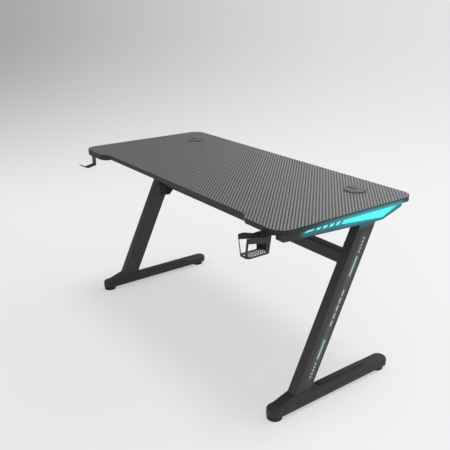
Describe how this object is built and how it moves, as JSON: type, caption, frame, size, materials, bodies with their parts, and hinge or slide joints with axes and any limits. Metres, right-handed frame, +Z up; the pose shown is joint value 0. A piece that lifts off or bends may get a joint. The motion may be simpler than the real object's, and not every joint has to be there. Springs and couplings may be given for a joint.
{
  "type": "gaming desk",
  "caption": "Desk with a woven-look worktop on leaning lit columns and long feet, glowing light bars under its ends, cable caps, a cup holder and a headphone hook.",
  "frame": {"origin": "on the floor, under the middle of the whole object's plan, with the levelling feet fully screwed in", "axes": "+X to the right of the person at the desk, +Y to the back of the desk, +Z up"},
  "size_m": [1.4, 0.7438, 0.7332],
  "materials": {
    "core_board": "raw medium-density fibreboard",
    "carbon_laminate": "woven-look laminate, satin",
    "edge_band": "matte black edge band",
    "grommet_plastic": "fine-grained black plastic",
    "powder_coat": "fine matte black powder coat",
    "housing_plastic": "fine-grained black plastic",
    "column_diffuser": "pale translucent light guide",
    "bar_diffuser": "cyan lit light guide",
    "led_tape": "white tape of lights",
    "strip_plastic": "ribbed black plastic inlay",
    "pad_rubber": "matte black rubber",
    "steel": "zinc-plated steel",
    "black_steel": "black oxide screws",
    "case_plastic": "fine-grained black plastic",
    "button_plastic": "smooth dark plastic",
    "circuit_green": "green solder mask"
  },
  "bodies": {
    "desk": {"desktop_board": "core_board", "carbon_laminate": "carbon_laminate", "edge_band": "edge_band", "crossbeam": "powder_coat", "cup_holder": "powder_coat", "cup_holder_floor": "powder_coat", "headphone_hook": "powder_coat", "controller_case": "case_plastic", "controller_cover": "case_plastic", "circuit_board": "circuit_green", "power_inlet": "button_plastic", "desktop_screws": "black_steel", "housing_screws": "black_steel", "cup_holder_screws": "black_steel", "hook_screws": "black_steel", "controller_screws": "black_steel", "beam_bolts": "black_steel", "foot_bolts": "black_steel", "grommet_liner_left": "grommet_plastic", "column_left": "powder_coat", "column_diffuser_left": "column_diffuser", "column_led_strip_left": "led_tape", "foot_left": "powder_coat", "foot_strip_left": "strip_plastic", "support_arm_left": "powder_coat", "light_housing_left": "housing_plastic", "bar_diffuser_left": "bar_diffuser", "bar_led_strip_left": "led_tape", "grommet_liner_right": "grommet_plastic", "column_right": "powder_coat", "column_diffuser_right": "column_diffuser", "column_led_strip_right": "led_tape", "foot_right": "powder_coat", "foot_strip_right": "strip_plastic", "support_arm_right": "powder_coat", "light_housing_right": "housing_plastic", "bar_diffuser_right": "bar_diffuser", "bar_led_strip_right": "led_tape"},
    "cap_left": {"grommet_cap_left": "grommet_plastic"},
    "leveller_front_left": {"leveller_pad_front_left": "pad_rubber", "leveller_stud_front_left": "steel"},
    "leveller_back_left": {"leveller_pad_back_left": "pad_rubber", "leveller_stud_back_left": "steel"},
    "cap_right": {"grommet_cap_right": "grommet_plastic"},
    "leveller_front_right": {"leveller_pad_front_right": "pad_rubber", "leveller_stud_front_right": "steel"},
    "leveller_back_right": {"leveller_pad_back_right": "pad_rubber", "leveller_stud_back_right": "steel"},
    "button": {"mode_button": "button_plastic"}
  },
  "joints": [
    {"name": "grommet_turn_left", "type": "hinge", "parent": "desk", "child": "cap_left", "pos_m": [-0.528, 0.2419, 0.73], "axis": [0, 0, 1], "continuous": true},
    {"name": "leveller_slide_front_left", "type": "slide", "parent": "desk", "child": "leveller_front_left", "axis": [0, 0, -1], "range_m": [0, 0.012]},
    {"name": "leveller_slide_back_left", "type": "slide", "parent": "desk", "child": "leveller_back_left", "axis": [0, 0, -1], "range_m": [0, 0.012]},
    {"name": "grommet_turn_right", "type": "hinge", "parent": "desk", "child": "cap_right", "pos_m": [0.528, 0.2419, 0.73], "axis": [0, 0, 1], "continuous": true},
    {"name": "leveller_slide_front_right", "type": "slide", "parent": "desk", "child": "leveller_front_right", "axis": [0, 0, -1], "range_m": [0, 0.012]},
    {"name": "leveller_slide_back_right", "type": "slide", "parent": "desk", "child": "leveller_back_right", "axis": [0, 0, -1], "range_m": [0, 0.012]},
    {"name": "button_press", "type": "slide", "parent": "desk", "child": "button", "axis": [0, 0, 1], "range_m": [0, 0.0015], "stiffness_N_per_m": 800, "springref_m": -0.002}
  ]
}
